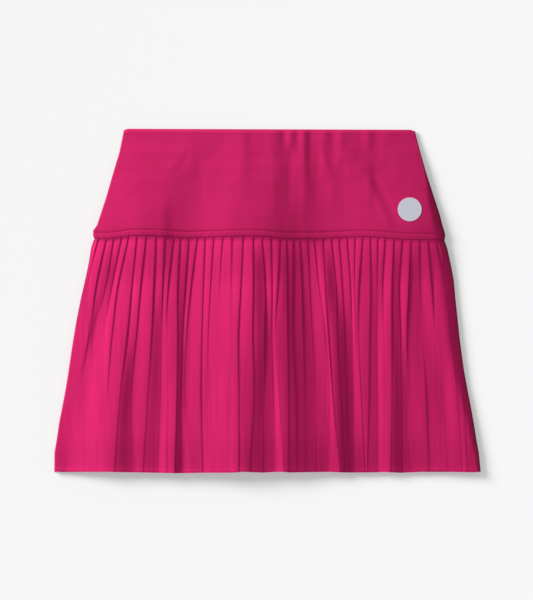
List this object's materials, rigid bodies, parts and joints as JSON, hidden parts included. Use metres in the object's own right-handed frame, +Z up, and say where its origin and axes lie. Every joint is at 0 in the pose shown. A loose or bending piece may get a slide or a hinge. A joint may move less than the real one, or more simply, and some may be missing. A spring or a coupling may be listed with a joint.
{
  "type": "pleated skort",
  "caption": "Pleated skirt with built-in shorts on a wide plain knit yoke, laid flat with its front up.",
  "frame": {"origin": "middle of the garment's outline, on the surface it lies on", "axes": "+X to the right as seen from the front, +Y from the hem to the waist, +Z up out of the garment's front; the back lies on z = 0"},
  "size_m": [0.3588, 0.2888, 0.0137],
  "materials": {
    "yoke": "matte fine knit, raspberry pink",
    "skirt": "light knit with a faint sheen, bright pink",
    "shorts": "matte stretch knit, raspberry pink"
  },
  "bodies": {
    "root": {"yoke_front": "yoke", "yoke_back": "yoke", "skirt_front": "skirt", "skirt_back": "skirt", "shorts_front": "shorts", "shorts_back": "shorts"}
  },
  "joints": []
}
